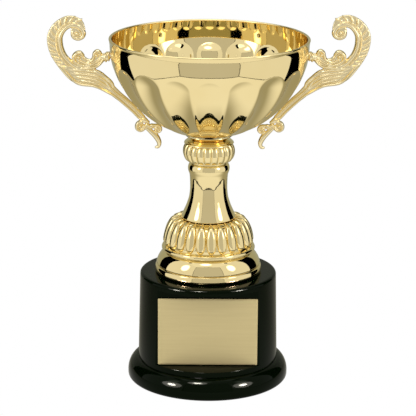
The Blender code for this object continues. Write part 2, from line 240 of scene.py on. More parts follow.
def make_knob():
    """The ribbed ball between the neck ring and the column's collar."""
    top = smooth_path([(4.0, 159.6), (11.3, 159.6), (13.2, 159.2), (14.6, 158.7)], 0.5)
    groove = [(14.75, 158.45), (14.7, 158.3), (14.9, 158.15)]
    shoulder = smooth_path([(15.2, 158.1), (15.7, 157.7), (15.9, 157.2)], 0.3)
    side = arc((9.4, 151.6), (6.9, 8.0), 41, -49, 36)
    ring = arc((11.9, 144.9), (0.75, 0.75), 60, -80, 8)
    under = [(11.6, 144.1), (4.0, 144.1)]
    profile = np.array(top.tolist() + groove + shoulder.tolist() + side + ring + under)
    columns = 20 * KNOB_RIBS
    rib_foot, rib_top, core_radius = 145.7, 157.3, 12.3
    along = np.clip((profile[:, 1] - rib_foot) / (rib_top - rib_foot), 0, 1)
    on_side = profile[:, 0] > core_radius
    valley_phase = 5.8
    across = round_the_axis(KNOB_RIBS, columns, valley_phase + 180 / KNOB_RIBS)
    ends = np.sqrt(np.clip(1 - (2 * along - 1) ** 4, 0, 1)) * on_side
    rib = np.sqrt(np.clip(1 - across**2, 0.02, 1))
    rib_height = 1.5
    lift = rib_height * ends[:, None] * (rib[None, :] - 0.75)
    return turned("knob_ball", profile, columns, lift)


def make_column():
    """The collar bead and the waisted tube that spreads towards the dome."""
    points = [
        (11.9, 143.95), (12.6, 143.3), (13.1, 142.2), (13.35, 140.9), (13.25, 139.4),
        (12.9, 138.2), (12.45, 137.1), (12.2, 135.5), (12.05, 133.0), (11.95, 130.0),
        (11.95, 127.0), (12.2, 124.0), (12.6, 121.3), (13.3, 118.9), (14.2, 116.2),
        (15.3, 113.6), (16.4, 111.2), (17.05, 109.7), (17.4, 108.6),
    ]  # fmt: skip
    lower_edge = arc((17.0, 108.3), (0.42, 0.4), 15, -90, 6)
    inside = [(15.5, 107.9), (10.5, 122.0), (9.8, 137.0), (4.0, 143.5), (4.0, 144.0)]
    profile = smooth_path(points, 0.4).tolist() + lower_edge + inside
    return turned("column_tube", profile, 128)


def petal_lift(along, across):
    """Leaf-shaped pads: pointed at both ends, rounded across, falling off at the tips."""
    pad_height, widest, fullness, steepness = 2.3, 0.38, 0.65, 1.6
    bulge = np.sin(np.pi * np.clip(along, 0, 1) ** (math.log(0.5) / math.log(widest)))
    width = 0.97 * bulge**fullness + 1e-4
    inside = np.clip(1 - (across[None, :] / width[:, None]) ** 2, 0, 1)
    return pad_height * np.sqrt(inside) * np.minimum(1, steepness * bulge)[:, None]


def make_dome():
    """The domed foot of the stem, ringed by raised petals above a bead."""
    centre, radii = (17.5, 91.0), (9.5, 16.4)
    top, bottom = 88.0, -4.5
    side = arc(centre, radii, top, bottom, 150)
    bead = arc((28.7, 88.0), (1.35, 1.6), 75, -84, 16)
    under = [(28.5, 86.2), (26.0, 86.2), (26.0, 88.0)]
    wall_thickness = 1.5
    inside = arc(centre, (radii[0] - wall_thickness, radii[1] - wall_thickness), 0, 85, 12)
    flat_top, ceiling_edge = [(4.0, 107.5), (14.0, 107.5)], [(4.0, 106.0)]
    profile = np.array(flat_top + side + bead + under + inside + ceiling_edge)
    run = np.linalg.norm(np.diff(np.array(side), axis=0), axis=1)
    walked = np.concatenate([[0], np.cumsum(run)]) / run.sum()
    petal_top, petal_bottom = -0.05, 0.985
    along = np.full(len(profile), -1.0)
    first = len(flat_top)
    along[first : first + len(side)] = (petal_bottom - walked) / (petal_bottom - petal_top)
    outside = (along > 0) & (along < 1)
    columns = 36 * PETALS
    petal_phase = 4.3
    lift = petal_lift(along, round_the_axis(PETALS, columns, petal_phase))
    return turned("dome_petals", profile, columns, lift * outside[:, None])


def make_flange():
    """The foot ring on the base: convex shoulder, groove and rolled lip."""
    shoulder = smooth_path(
        [(28.4, 86.0), (29.3, 85.25), (30.4, 84.1), (31.5, 82.6), (32.45, 80.9),
         (33.1, 79.3), (33.4, 78.3), (33.45, 77.9), (33.3, 77.45)], 0.25
    )  # fmt: skip
    groove = [(33.0, 77.3), (32.95, 77.05), (33.2, 76.9)]
    foot = 72.0  # just clear of the base's crown
    lip = smooth_path(
        [(33.6, 76.75), (34.0, 76.2), (34.25, 75.2), (34.4, 74.2), (34.4, 73.5),
         (34.2, 72.9), (33.8, 72.4), (33.2, foot + 0.1), (32.6, foot)], 0.25
    )  # fmt: skip
    inside = [(31.0, foot), (31.0, 76.0), (26.0, 83.5), (4.0, 83.5), (4.0, 86.0)]
    profile = shoulder.tolist() + groove + lip.tolist() + inside
    return turned("flange_ring", profile, 160)


# ------------------------------------------------------------------ the base


def base_ring(radius, height, flat):
    """A ring of the base: round at flat 0, its front cut off by the recess at flat 1."""
    smallest, largest = 43, 50  # of the rings that the recess reaches
    half = math.acos(RECESS / min(max(radius, smallest), largest))
    front = np.linspace(-half, half, 61)
    back = np.linspace(half, 2 * math.pi - half, 150)[1:-1]
    angles = np.concatenate([front, back])
    x, y = radius * np.sin(angles), -radius * np.cos(angles)
    y[: len(front)] += flat * (-RECESS - y[: len(front)])
    return np.stack([x, y, np.full(len(x), height)], -1)


def make_base():
    """The moulded base: rounded crown, drafted side, plate recess and swelling foot."""
    top, waist = 44.0, 45.2
    recess_top, recess_bottom = PLATE_HIGH.z + 5.3, PLATE_LOW.z - 0.5
    waist_height = 14.3

    def side(height):
        return waist + (top - waist) * (height - waist_height) / (BASE_HEIGHT - waist_height)

    crown_height, rounding = BASE_HEIGHT + CROWN_RISE, 1.7
    crown = arc((top - rounding, crown_height - rounding), (rounding, rounding), 90, 5, 9)
    rows = [(r, crown_height, 0) for r in (BORE, 30.0, 41.0)]
    rows += [(r, z, 0) for r, z in crown]
    rows += [(side(z), z, 0) for z in (69.0, 68.2)]
    recess_edge = [(0.22, 0), (0.06, 0.008), (0, 0.04), (0, 0.5), (0, 0.985), (-0.15, 1)]
    rows += [(side(recess_top), recess_top + rise, flat) for rise, flat in recess_edge]
    rows += [(side(z), z, 1) for z in np.linspace(recess_top - 1, recess_bottom + 1, 8)]
    rows += [(side(recess_bottom), recess_bottom - rise, flat) for rise, flat in recess_edge[::-1]]
    rows += [(side(z), z, 0) for z in (16.4, 15.2, 14.5)]
    foot = arc((FOOT_RADIUS - 7.4, 4.4), (7.4, 9.9), 85, 0, 22)
    under = arc((FOOT_RADIUS - 2.6, 2.9), (2.6, 2.6), -8, -90, 8)
    rows += [(r, z, 0) for r, z in foot + under]
    rows += [(49.0, 0.3, 0), (49.0, 2.3, 0), (BORE, 2.3, 0)]
    return loft("base_moulding", np.stack([base_ring(*row) for row in rows]), sharp=28)


def rectangle_ring(half_width, low, high, corner, y):
    """A rounded rectangle in the plane of the name plate."""
    points = []
    for cx, cz, start in (
        (half_width - corner, low + corner, -90),
        (half_width - corner, high - corner, 0),
        (corner - half_width, high - corner, 90),
        (corner - half_width, low + corner, 180),
    ):
        points += [(x, y, z) for x, z in arc((cx, cz), (corner, corner), start, start + 90, 6)]
    return points


def make_plate():
    """The name plate, blank, with a bright chamfer all round."""
    half, low, high = PLATE_HIGH.x, PLATE_LOW.z, PLATE_HIGH.z
    back, front = PLATE_HIGH.y, PLATE_LOW.y
    rings = []
    for inset, y in ((0, back), (0, front + 0.38), (0.08, front + 0.32), (0.80, front + 0.03),
                     (0.88, front), (6.0, front)):  # fmt: skip
        ring = rectangle_ring(half - inset, low + inset, high - inset, 0.6, y)
        rings.append(ring)
    return loft("name_plate_face", np.array(rings), closed=False, sharp=14)


# ------------------------------------------------------------------ the handles


def tube(points, flatten=1.0, slab=None, sides=16):
    """Rings round a path of (x, z, radius), rounded off at both ends and flattened in y.
    A slab has flat faces that far from the middle instead."""
    path = smooth_path(points, 0.6)
    centre, radius = path[:, :2], path[:, 2]
    run = np.gradient(centre, axis=0)
    run /= np.linalg.norm(run, axis=1)[:, None] + 1e-9
    caps = np.radians([80, 60, 35, 15])
    first = [(centre[0] - run[0] * radius[0] * math.sin(a), run[0], radius[0] * math.cos(a))
             for a in caps]  # fmt: skip
    last = [(centre[-1] + run[-1] * radius[-1] * math.sin(a), run[-1],
             radius[-1] * math.cos(a)) for a in caps[::-1]]  # fmt: skip
    rings = []
    turn = (np.arange(sides) + 0.5) * 2 * math.pi / sides
    wide, deep = np.cos(turn), np.sin(turn)
    if slab:
        squareness = 0.35
        wide = np.sign(wide) * np.abs(wide) ** squareness
        deep = np.sign(deep) * np.abs(deep) ** squareness
    for c, d, r in first + list(zip(centre, run, radius)) + last:
        across = np.array([-d[1], d[0]])
        x = c[0] + across[0] * r * wide
        z = c[1] + across[1] * r * wide
        half_depth = min(slab, r) if slab else r * flatten
        rings.append(np.stack([x, half_depth * deep, z], -1))
    return np.stack(rings)


# Strokes of the casting: points of (x, z, radius) and, for the wide flat ones that make
# its body, the distance of their faces from the middle
BODY_STROKES = [
    # the arc from the volute round to the leaf, and the leaf down to the leg
    ([(79.6, 230.0, 1.6), (81.6, 233.4, 2.4), (85.4, 235.0, 3.0), (89.6, 234.2, 3.8),
      (94.2, 230.6, 4.5), (96.9, 225.8, 4.9), (97.3, 221.4, 4.9), (96.2, 216.0, 4.7),
      (93.4, 210.6, 4.6), (89.4, 205.8, 5.0), (84.6, 201.4, 5.6), (79.0, 199.4, 6.2),
      (72.8, 198.2, 5.4), (67.0, 195.0, 4.4), (62.4, 191.4, 3.2), (57.6, 187.2, 2.7),
      (52.4, 183.0, 2.5), (47.2, 178.0, 2.3), (42.6, 173.0, 2.2)], 1.15),
    # the arm from the leaf to the boss at the bowl
    ([(82.5, 205.5, 4.4), (78.0, 206.6, 3.9), (74.0, 207.4, 3.6), (70.8, 209.0, 3.2),
      (67.8, 211.4, 2.6), (64.8, 212.4, 2.4)], 1.15),
    # under the two curls
    ([(82.2, 210.6, 3.0), (82.9, 211.9, 3.0)], 1.05),
    ([(70.8, 212.6, 2.2), (71.2, 213.4, 2.2)], 1.05),
    # the volute's disc
    ([(82.6, 227.4, 3.9), (83.4, 228.2, 3.9)], 1.1),
]  # fmt: skip


# Veins, scrolls and curls standing on the body, with how far each is flattened
RELIEF_STROKES = [
    # scroll: from the middle of the arc round the volute to its eye
    ([(94.1, 222.0, 1.8), (93.9, 225.1, 1.8), (92.4, 228.2, 1.7), (90.1, 230.7, 1.6),
      (87.2, 232.0, 1.6), (83.6, 231.9, 1.6), (80.9, 230.2, 1.6), (79.2, 227.4, 1.6),
      (80.1, 224.8, 1.5), (82.8, 223.7, 1.4), (85.3, 224.6, 1.3), (86.1, 226.9, 1.2),
      (85.0, 228.7, 0.9), (83.4, 229.3, 0.6)], 1.5),
    ([(83.0, 226.7, 1.3), (83.6, 227.1, 1.3)], 1.9),
    # the same scroll running down into the leaf
    ([(94.1, 222.0, 1.8), (93.7, 218.7, 1.8), (92.7, 215.4, 1.8), (91.0, 212.1, 1.8),
      (88.2, 208.9, 1.7), (86.1, 206.9, 1.5), (83.5, 205.5, 1.4), (80.1, 204.8, 1.2)], 1.45),
    # a thin line between the scroll and the lobes
    ([(83.2, 233.2, 0.5), (87.3, 233.8, 0.5), (91.2, 232.2, 0.5), (94.2, 229.2, 0.5),
      (95.8, 225.6, 0.5), (96.1, 221.6, 0.5), (95.6, 217.4, 0.5), (94.2, 213.4, 0.5),
      (91.8, 209.8, 0.5), (88.6, 206.4, 0.5)], 4.6),
    # leaf veins
    ([(90.8, 205.2, 0.5), (84.6, 203.6, 0.8), (78.0, 203.2, 0.9), (72.0, 202.4, 0.9),
      (67.2, 199.9, 0.8), (63.8, 196.6, 0.7)], 2.2),
    ([(88.9, 202.6, 0.5), (82.6, 201.2, 0.8), (76.0, 200.6, 0.9), (70.0, 199.2, 0.9),
      (65.6, 196.6, 0.8), (62.2, 193.4, 0.6)], 2.3),
    ([(87.2, 200.2, 0.5), (81.4, 198.8, 0.8), (75.4, 198.1, 0.9), (70.2, 196.8, 0.9),
      (66.0, 194.4, 0.8), (62.8, 191.8, 0.6)], 2.3),
    ([(85.0, 197.6, 0.5), (79.8, 196.5, 0.8), (74.4, 195.8, 0.9), (69.6, 194.3, 0.8),
      (65.2, 191.6, 0.6)], 2.2),
    ([(73.0, 203.9, 0.6), (69.0, 202.2, 0.8), (65.0, 199.0, 0.8), (62.0, 196.2, 0.8),
      (60.7, 193.8, 0.7), (61.0, 191.6, 0.6)], 2.2),
    # lower edge of the leaf and of the leg
    ([(94.4, 206.6, 0.8), (90.4, 202.2, 0.9), (87.2, 198.6, 1.0), (84.2, 195.8, 1.1),
      (80.4, 194.4, 1.1), (73.4, 193.5, 1.0), (68.7, 191.8, 1.0), (64.1, 189.4, 1.0),
      (59.7, 186.8, 0.9), (56.6, 184.2, 0.9), (52.8, 180.9, 0.9), (48.3, 176.8, 0.9),
      (44.9, 173.2, 0.9)], 2.3),
    # upper edge of the leg
    ([(66.3, 196.9, 0.6), (62.4, 192.6, 0.7), (58.7, 188.9, 0.8), (54.3, 185.6, 0.8),
      (50.0, 182.2, 0.8), (45.8, 177.9, 0.8), (42.4, 174.3, 0.8), (39.4, 171.2, 0.8)], 2.6),
    # curled leaf under the volute
    ([(79.6, 213.0, 1.0), (81.4, 214.8, 1.2), (83.7, 214.4, 1.3), (85.4, 212.4, 1.3),
      (85.1, 209.7, 1.2), (82.8, 207.5, 1.1), (79.1, 206.4, 1.0), (75.6, 206.3, 0.9)], 2.0),
    ([(82.2, 211.6, 1.2), (82.8, 211.9, 1.2)], 2.3),
    ([(81.4, 209.6, 0.8), (78.6, 208.2, 0.8), (75.6, 208.0, 0.7)], 2.9),
    ([(79.0, 211.6, 0.8), (77.0, 210.2, 0.8), (74.8, 209.9, 0.6)], 2.5),
    # curled leaf next to the boss
    ([(68.9, 213.0, 0.9), (68.8, 214.8, 1.0), (70.6, 215.9, 1.1), (72.5, 214.6, 1.1),
      (72.9, 212.2, 1.1), (74.0, 210.0, 1.0), (76.6, 208.6, 0.8)], 2.1),
    ([(70.8, 213.0, 1.1), (71.1, 213.3, 1.1)], 2.2),
    ([(68.3, 212.0, 0.8), (69.5, 210.4, 0.8), (71.8, 208.6, 0.8), (74.4, 207.2, 0.8),
      (77.9, 206.5, 0.7)], 2.7),
    ([(84.0, 203.9, 0.8), (79.6, 204.6, 0.9), (74.6, 205.0, 0.9), (70.9, 206.2, 0.9),
      (68.3, 208.6, 0.9), (67.0, 211.0, 0.8)], 2.7),
    # boss against the bowl, with rings round it
    ([(66.6, 211.9, 2.4), (64.7, 212.3, 2.7)], 0.9),
    ([(64.6, 214.8, 0.7), (65.9, 212.0, 0.7), (65.2, 209.4, 0.7)], 3.6),
    ([(63.3, 215.0, 0.6), (64.0, 212.4, 0.6), (63.4, 209.9, 0.6)], 3.9),
    # knee bar, two little curls and the tail
    ([(43.9, 172.5, 0.8), (41.0, 171.5, 0.9), (38.4, 170.2, 0.8)], 2.6),
    ([(42.8, 167.0, 2.3), (43.6, 167.4, 2.3)], 0.5),
    ([(39.4, 170.4, 0.9), (42.0, 170.6, 1.0), (44.8, 170.0, 1.0), (46.2, 168.0, 1.0),
      (45.8, 165.6, 1.0), (43.6, 164.5, 1.0), (41.5, 165.6, 1.0), (41.0, 167.4, 0.8)], 2.1),
    ([(43.5, 167.3, 1.2), (43.9, 167.5, 1.2)], 1.9),
    ([(32.6, 165.8, 2.0), (33.2, 166.2, 2.0)], 0.5),
    ([(36.6, 168.4, 0.8), (35.0, 168.2, 0.8), (32.8, 168.2, 0.8), (30.9, 167.0, 0.8),
      (30.6, 165.0, 0.8), (32.2, 163.6, 0.8), (34.2, 164.2, 0.7)], 2.5),
    ([(32.7, 165.9, 1.0), (33.0, 166.0, 1.0)], 2.1),
    ([(39.6, 168.4, 1.3), (36.4, 167.0, 1.3)], 1.6),
    ([(40.2, 166.4, 1.0), (37.2, 164.2, 1.6), (34.0, 161.2, 1.9), (32.0, 157.8, 1.7),
      (31.7, 155.4, 1.3), (32.6, 153.9, 1.1), (33.8, 153.7, 0.8)], 1.1),
]  # fmt: skip

# The line that the lobes of the outer edge spring from, from the volute to the leaf
RIDGE = [(81.6, 233.6), (84.4, 234.4), (87.6, 234.2), (90.6, 233.0), (93.2, 230.8),
         (95.1, 228.0), (96.2, 225.0), (96.5, 222.0), (96.3, 218.7), (95.5, 215.0),
         (94.0, 211.6), (91.8, 208.4), (89.2, 205.6)]  # fmt: skip
LOBES = 12


def leaf_lobes():
    """Low scallops along the outer edge, parted by thin lines that lean forward."""
    ridge = smooth_path(RIDGE, 0.2)
    run = np.gradient(ridge, axis=0)
    run /= np.linalg.norm(run, axis=1)[:, None]
    strokes = []
    for i in range(LOBES):
        share = (i + 0.6) / LOBES
        at = int(share * (len(ridge) - 1))
        forward = -run[at]
        out = np.array([-run[at][1], run[at][0]])
        reach = float(np.interp(share, [0, 0.25, 0.5, 0.75, 1], [2.6, 3.9, 4.9, 5.0, 3.6]))

        def place(across, along):
            return ridge[at] + out * reach * across + forward * along

        size = 0.36 * reach
        pad = [(*place(0.3, -1.0), size), (*place(0.62, 0.6), size)]
        strokes.append((pad, 1.3 / size))
        line = [(*place(0.12, -0.6), 0.4), (*place(0.5, 0.8), 0.55), (*place(0.94, 2.6), 0.45)]
        strokes.append((line, 3.9))
    return strokes


def leaned(points):
    """The right handle is fitted with its top leaning in a little, about its tail."""
    lean, tail, shift = math.radians(1.7), np.array([33.0, 157.0]), np.array([1.0, 0.0])
    turn = np.array([[math.cos(lean), math.sin(lean)], [-math.sin(lean), math.cos(lean)]])
    moved = points.copy()
    moved[:, [0, 2]] = (points[:, [0, 2]] - tail) @ turn + tail + shift
    return moved


HANDLE_VOXEL = 0.24


def make_handle(side, sign):
    """A casting drawn as overlapping strokes, fused and smoothed into one body."""
    pieces = [tube(points, slab=half_depth) for points, half_depth in BODY_STROKES]
    pieces += [tube(points, flatten) for points, flatten in RELIEF_STROKES + leaf_lobes()]
    vertices, faces, start = [], [], 0
    for rings in pieces:
        rows, columns = rings.shape[:2]
        flat = rings.reshape(-1, 3)
        if side == "right":
            flat = leaned(flat)
        flat[:, 0] *= sign
        vertices.append(flat)
        faces += grid_faces(rows, columns, False, start).tolist()
        faces.append(list(range(start, start + columns)))
        faces.append(list(range(start + (rows - 1) * columns, start + rows * columns)))
        start += rows * columns
    obj = mesh_object(f"handle_casting_{side}", np.vstack(vertices), faces)
    tidy(obj, sharp=180)
    fuse = obj.modifiers.new("Fuse", "REMESH")
    fuse.mode = "VOXEL"
    fuse.voxel_size = HANDLE_VOXEL * MM
    soften = obj.modifiers.new("Soften", "SMOOTH")
    soften.factor = 0.5
    soften.iterations = 7
    return bake_modifiers(obj)


def bake_modifiers(obj):
    bpy.context.view_layer.update()
    evaluated = obj.evaluated_get(bpy.context.evaluated_depsgraph_get())
    mesh = bpy.data.meshes.new_from_object(evaluated)
    obj.modifiers.clear()
    obj.data = mesh
    mesh.shade_smooth()
    return obj


# ------------------------------------------------------------------ the fasteners


def hex_radius(across_flats, columns):
    angle = (np.arange(columns) * 360 / columns + 30) % 60 - 30
    return across_flats / 2 / np.cos(np.radians(angle))


def make_nut(name, node):
    """A chamfered hexagon nut round the rod, in the place of its CAD node."""
    low, high = box_mm(node)
    flats, columns, chamfer_slope = 10.0, 72, 1.6
    corner = hex_radius(flats, columns)
    mid, half = (low.z + high.z) / 2, (high.z - low.z) / 2
    heights = mid + half * np.array([1, 0.93, 0.8, 0.5, -0.5, -0.8, -0.93, -1])
    outer = [(flats / 2 - 0.3, high.z)] + [(flats / 2, z) for z in heights]
    outer += [(flats / 2 - 0.3, low.z)]
    profile = np.array(outer + [(BORE, low.z), (BORE, high.z)])
    slope = flats / 2 + 0.1 + (half - np.abs(profile[:, 1] - mid)) * chamfer_slope
    lift = np.minimum(corner[None, :], slope[:, None]) - flats / 2
    lift[0] = lift[-3] = lift[-2] = lift[-1] = 0
    return turned(name, profile, columns, np.maximum(lift, 0), sharp=30)


def make_rod():
    """The tie rod, with its thread cut on the end that shows in the bowl."""
    low, high = box_mm("tie_rod")
    radius, thread_start, pitch, depth, columns = 2.95, 156.0, 1.0, 0.32, 40
    z = np.arange(high.z - 0.6, thread_start, -0.1)
    plain = [(radius, thread_start - 1), (radius, low.z + 1), (2.4, low.z), (0.02, low.z)]
    profile = [(0.02, high.z), (2.3, high.z)] + [(radius, height) for height in z] + plain
    angle = np.arange(columns)[None, :] / columns
    wave = (z[:, None] / pitch + angle) % 1
    lift = np.zeros((len(profile), columns))
    lift[2 : 2 + len(z)] = -depth * np.abs(2 * wave - 1)
    return turned("rod_threaded", profile, columns, lift, sharp=50)


SCREWS = {
    "upper": {"head": 2.7, "shank": 1.5, "length": 7.0, "head_height": 1.8},
    "lower": {"head": 1.9, "shank": 1.0, "length": 5.0, "head_height": 1.2},
}


def make_screw(name, node, head, shank, length, head_height):
    """A pan-head screw with a slot, pointing out of the bowl as its CAD node does; head
    and shank are radii."""
    columns = 64
    slot_half_width, slot_depth = 0.16 * head, 0.45 * head_height
    cap = arc((head * 0.45, -head_height * 0.45), (head * 0.55, head_height * 0.55), 0, -86, 8)
    rings = np.linspace(head * 0.45, 0.02, 7)
    profile = [(0.02, length), (shank * 0.6, length), (shank, length - shank * 0.6),
               (shank, 0), (head * 0.98, 0), (head, -head_height * 0.2)]  # fmt: skip
    profile = np.array(profile + cap + [(r, -head_height) for r in rings])
    angles = np.arange(columns) * 2 * math.pi / columns
    beside_slot = np.abs(profile[:, :1] * np.sin(angles)[None, :])
    in_slot = (beside_slot < slot_half_width) & (profile[:, 1:] < -head_height * 0.5)
    obj = turned(name, profile, columns, -slot_depth * in_slot, sharp=40)
    low, high = box_mm(node)
    centre = Vector((0, 0, RIM_HEIGHT))
    middle = (low + high) / 2 - centre
    seat = middle.length - (length - head_height) / 2
    obj.data.transform(
        Matrix.Translation((centre + middle.normalized() * seat) * MM)
        @ middle.to_track_quat("Z", "Y").to_matrix().to_4x4()
    )
    return obj


# ------------------------------------------------------------------ materials


class Shader:
    """A node material around one Principled BSDF, textured in object coordinates."""

    def __init__(self, name):
        self.material = bpy.data.materials.new(name)
        self.material.use_nodes = True
        self.nodes = self.material.node_tree.nodes
        self.links = self.material.node_tree.links
        self.bsdf = self.nodes["Principled BSDF"]
        self.place = self.nodes.new("ShaderNodeTexCoord").outputs["Object"]

    def noise(self, scale, detail=3.0, stretch=(1, 1, 1)):
        """Noise with that many features a metre."""
        mapping = self.nodes.new("ShaderNodeMapping")
        mapping.inputs["Scale"].default_value = stretch
        self.links.new(self.place, mapping.inputs["Vector"])
        made = self.nodes.new("ShaderNodeTexNoise")
        made.inputs["Scale"].default_value = scale
        made.inputs["Detail"].default_value = detail
        self.links.new(mapping.outputs["Vector"], made.inputs["Vector"])
        return made.outputs["Fac"]

    def colour(self, first, second, factor):
        """Base colour between two, by the factor's middle range."""
        ramp = self.nodes.new("ShaderNodeValToRGB")
        for stop, place, value in zip(ramp.color_ramp.elements, (0.35, 0.65), (first, second)):
            stop.position = place
            stop.color = (*value, 1)
        self.links.new(factor, ramp.inputs["Fac"])
        self.links.new(ramp.outputs["Color"], self.bsdf.inputs["Base Color"])

    def roughness(self, low, high, factor):
        span = self.nodes.new("ShaderNodeMapRange")
        span.inputs["From Min"].default_value = 0.3
        span.inputs["From Max"].default_value = 0.7
        span.inputs["To Min"].default_value = low
        span.inputs["To Max"].default_value = high
        self.links.new(factor, span.inputs["Value"])
        self.links.new(span.outputs["Result"], self.bsdf.inputs["Roughness"])

    def bump(self, factor, strength, depth):
        """Relief of that depth in millimetres."""
        made = self.nodes.new("ShaderNodeBump")
        made.inputs["Strength"].default_value = strength
        made.inputs["Distance"].default_value = depth * MM
        self.links.new(factor, made.inputs["Height"])
        self.links.new(made.outputs["Normal"], self.bsdf.inputs["Normal"])

    def set(self, **values):
        for key, value in values.items():
            self.bsdf.inputs[key.replace("_", " ")].default_value = value
        return self


def mirror_gold():
    """Bright plating: a near mirror, with the faintest clouding."""
    made = Shader("mirror_gold").set(Metallic=1.0)
    made.colour((0.85, 0.69, 0.34), (0.87, 0.715, 0.365), made.noise(35))
    made.roughness(0.025, 0.05, made.noise(60, 4))
    return made.material


def cast_gold():
    """Plating over a casting: softer, with a fine skin."""
    made = Shader("cast_gold").set(Metallic=1.0)
    made.colour((0.87, 0.73, 0.42), (0.90, 0.755, 0.445), made.noise(120))
    made.roughness(0.20, 0.26, made.noise(300, 4))
    made.bump(made.noise(1400, 5), 0.03, 0.04)
    return made.material


def satin_gold():
    """Lacquered satin plate, its faint grain running across."""
    made = Shader("satin_gold").set(Metallic=0.25)
    grain = made.noise(900, 6, (0.04, 1, 1))
    made.colour((0.650, 0.525, 0.250), (0.680, 0.555, 0.268), grain)
    made.roughness(0.50, 0.60, grain)
    made.bump(grain, 0.08, 0.02)
    return made.material


def black_gloss():
    """Polished moulded plastic, black with a breath of green."""
    made = Shader("black_gloss").set(IOR=1.15, Specular_Tint=(0.86, 1.0, 0.72, 1.0))
    made.colour((0.0007, 0.0026, 0.0004), (0.0010, 0.0033, 0.0006), made.noise(25))
    made.roughness(0.06, 0.09, made.noise(80, 4))
    made.bump(made.noise(140, 2), 0.05, 0.02)
    return made.material


def steel(name, tint, low, high):
    made = Shader(name).set(Metallic=1.0)
    made.colour(tuple(0.9 * t for t in tint), tint, made.noise(400))
    made.roughness(low, high, made.noise(900, 5))
    made.bump(made.noise(2500, 4), 0.15, 0.03)
    return made.material


def cast_iron():
    made = Shader("cast_iron").set(Metallic=0.6)
    made.colour((0.05, 0.05, 0.052), (0.09, 0.088, 0.085), made.noise(300, 6))
    made.roughness(0.6, 0.8, made.noise(500, 4))
    made.bump(made.noise(900, 6), 0.6, 0.3)
    return made.material


def felt():
    made = Shader("felt_cloth").set(Sheen_Weight=0.4, Sheen_Roughness=0.6)
    made.colour((0.012, 0.03, 0.017), (0.022, 0.05, 0.03), made.noise(1500, 6))
    made.roughness(0.85, 0.98, made.noise(1500, 3))
    made.bump(made.noise(2600, 6), 0.8, 0.3)
    return made.material


def foam():
    made = Shader("foam_tape").set(Subsurface_Weight=0.1, Subsurface_Scale=0.0005)
    made.colour((0.72, 0.72, 0.68), (0.80, 0.80, 0.76), made.noise(1800, 4))
    made.roughness(0.6, 0.8, made.noise(1200, 3))
    made.bump(made.noise(3000, 4), 0.5, 0.1)
    return made.material


# ------------------------------------------------------------------ the studio


# The tent's plan, as directions from straight ahead and distances from the axis
FRONT_LINE = [(-32.6, 0.455), (-22, 0.433), (-8, 0.423), (8, 0.423), (22, 0.433), (32.6, 0.455)]
SIDE_LINE = [(33.5, 0.455), (45, 0.42), (60, 0.395), (80, 0.38), (100, 0.372)]
SIDE_X, SIDE_Y, BACK_Y = 0.40, 0.06, 0.33
TENT_HEIGHT = 0.62
SEAM = 0.006  # the dark slits between the panels


def glowing(name, radiance, colour=(1, 1, 1)):
    """An even glow for reflections to find; only the softboxes are sampled as lamps."""
    made = bpy.data.materials.new(name)
    made.use_nodes = True
    nodes, links = made.node_tree.nodes, made.node_tree.links
    nodes.clear()
    glow = nodes.new("ShaderNodeEmission")
    glow.inputs["Strength"].default_value = radiance
    glow.inputs["Color"].default_value = (*colour, 1)
    links.new(glow.outputs["Emission"], nodes.new("ShaderNodeOutputMaterial").inputs["Surface"])
    made.cycles.emission_sampling = "NONE"
    return made


def graded(name, low, high, first, second):
    """A glow that goes from one colour to the other between two distances from the
    middle of its sheet, in the sheet's own coordinates."""
    made = glowing(name, 1.0)
    nodes, links = made.node_tree.nodes, made.node_tree.links
    distance = nodes.new("ShaderNodeVectorMath")
    distance.operation = "LENGTH"
    links.new(nodes.new("ShaderNodeTexCoord").outputs["Object"], distance.inputs[0])
    span = nodes.new("ShaderNodeMapRange")
    span.data_type = "FLOAT_VECTOR"
    span.interpolation_type = "SMOOTHSTEP"
    links.new(distance.outputs["Value"], span.inputs["Vector"])
    for key, value in (("From_Min_FLOAT3", [low] * 3), ("From_Max_FLOAT3", [high] * 3),
                       ("To_Min_FLOAT3", first), ("To_Max_FLOAT3", second)):  # fmt: skip
        socket = next(s for s in span.inputs if s.identifier == key)
        socket.default_value = value
    links.new(span.outputs["Vector"], nodes["Emission"].inputs["Color"])
    return made


def studio_sheet(name, corners, finish, shown_to="reflections"):
    """A flat sheet in metres that only reflections see, or only the camera."""
    mesh = bpy.data.meshes.new(name)
    mesh.from_pydata(corners, [], [list(range(len(corners)))])
    obj = bpy.data.objects.new(name, mesh)
    bpy.context.scene.collection.objects.link(obj)
    mesh.materials.append(finish)
    obj.visible_camera = shown_to == "camera"
    obj.visible_glossy = obj.visible_diffuse = shown_to == "reflections"
    obj.visible_shadow = False
    return obj


def around(azimuth, distance):
    """A point on the floor, by its direction from straight ahead in degrees."""
    a = math.radians(azimuth)
    return distance * math.sin(a), -distance * math.cos(a)


def wall(name, start, end, bottom, radiance, colour=(1, 1, 1)):
    """A standing sheet over the line from start to end on the floor."""
    corners = [(*start, bottom), (*end, bottom), (*end, TENT_HEIGHT), (*start, TENT_HEIGHT)]
    studio_sheet(name, corners, glowing(name, radiance, colour))


def screen(name, line, bottom, radiance):
    """A bent wall along a line of directions and distances."""
    points = [around(*place) for place in line]
    for i, (start, end) in enumerate(zip(points, points[1:])):
        wall(f"{name}_{i}", start, end, bottom, radiance)


def dark_backing(name, line):
    """What shows through the seams: a dim screen just behind the panels."""
    behind = 0.01
    further = [(azimuth, distance + behind) for azimuth, distance in line]
    screen(name, further, bottom=0, radiance=0.12)


def ceiling(name, start_x, end_x, start_y, end_y, radiance):
    """A level sheet at the top of the tent."""
    plan = [(start_x, start_y), (end_x, start_y), (end_x, end_y), (start_x, end_y)]
    studio_sheet(name, [(x, y, TENT_HEIGHT) for x, y in plan], glowing(name, radiance))


def disc():
    """A round outline, one unit in radius."""
    turn = [2 * math.pi * i / 48 for i in range(48)]
    return [(math.cos(t), math.sin(t), 0) for t in turn]


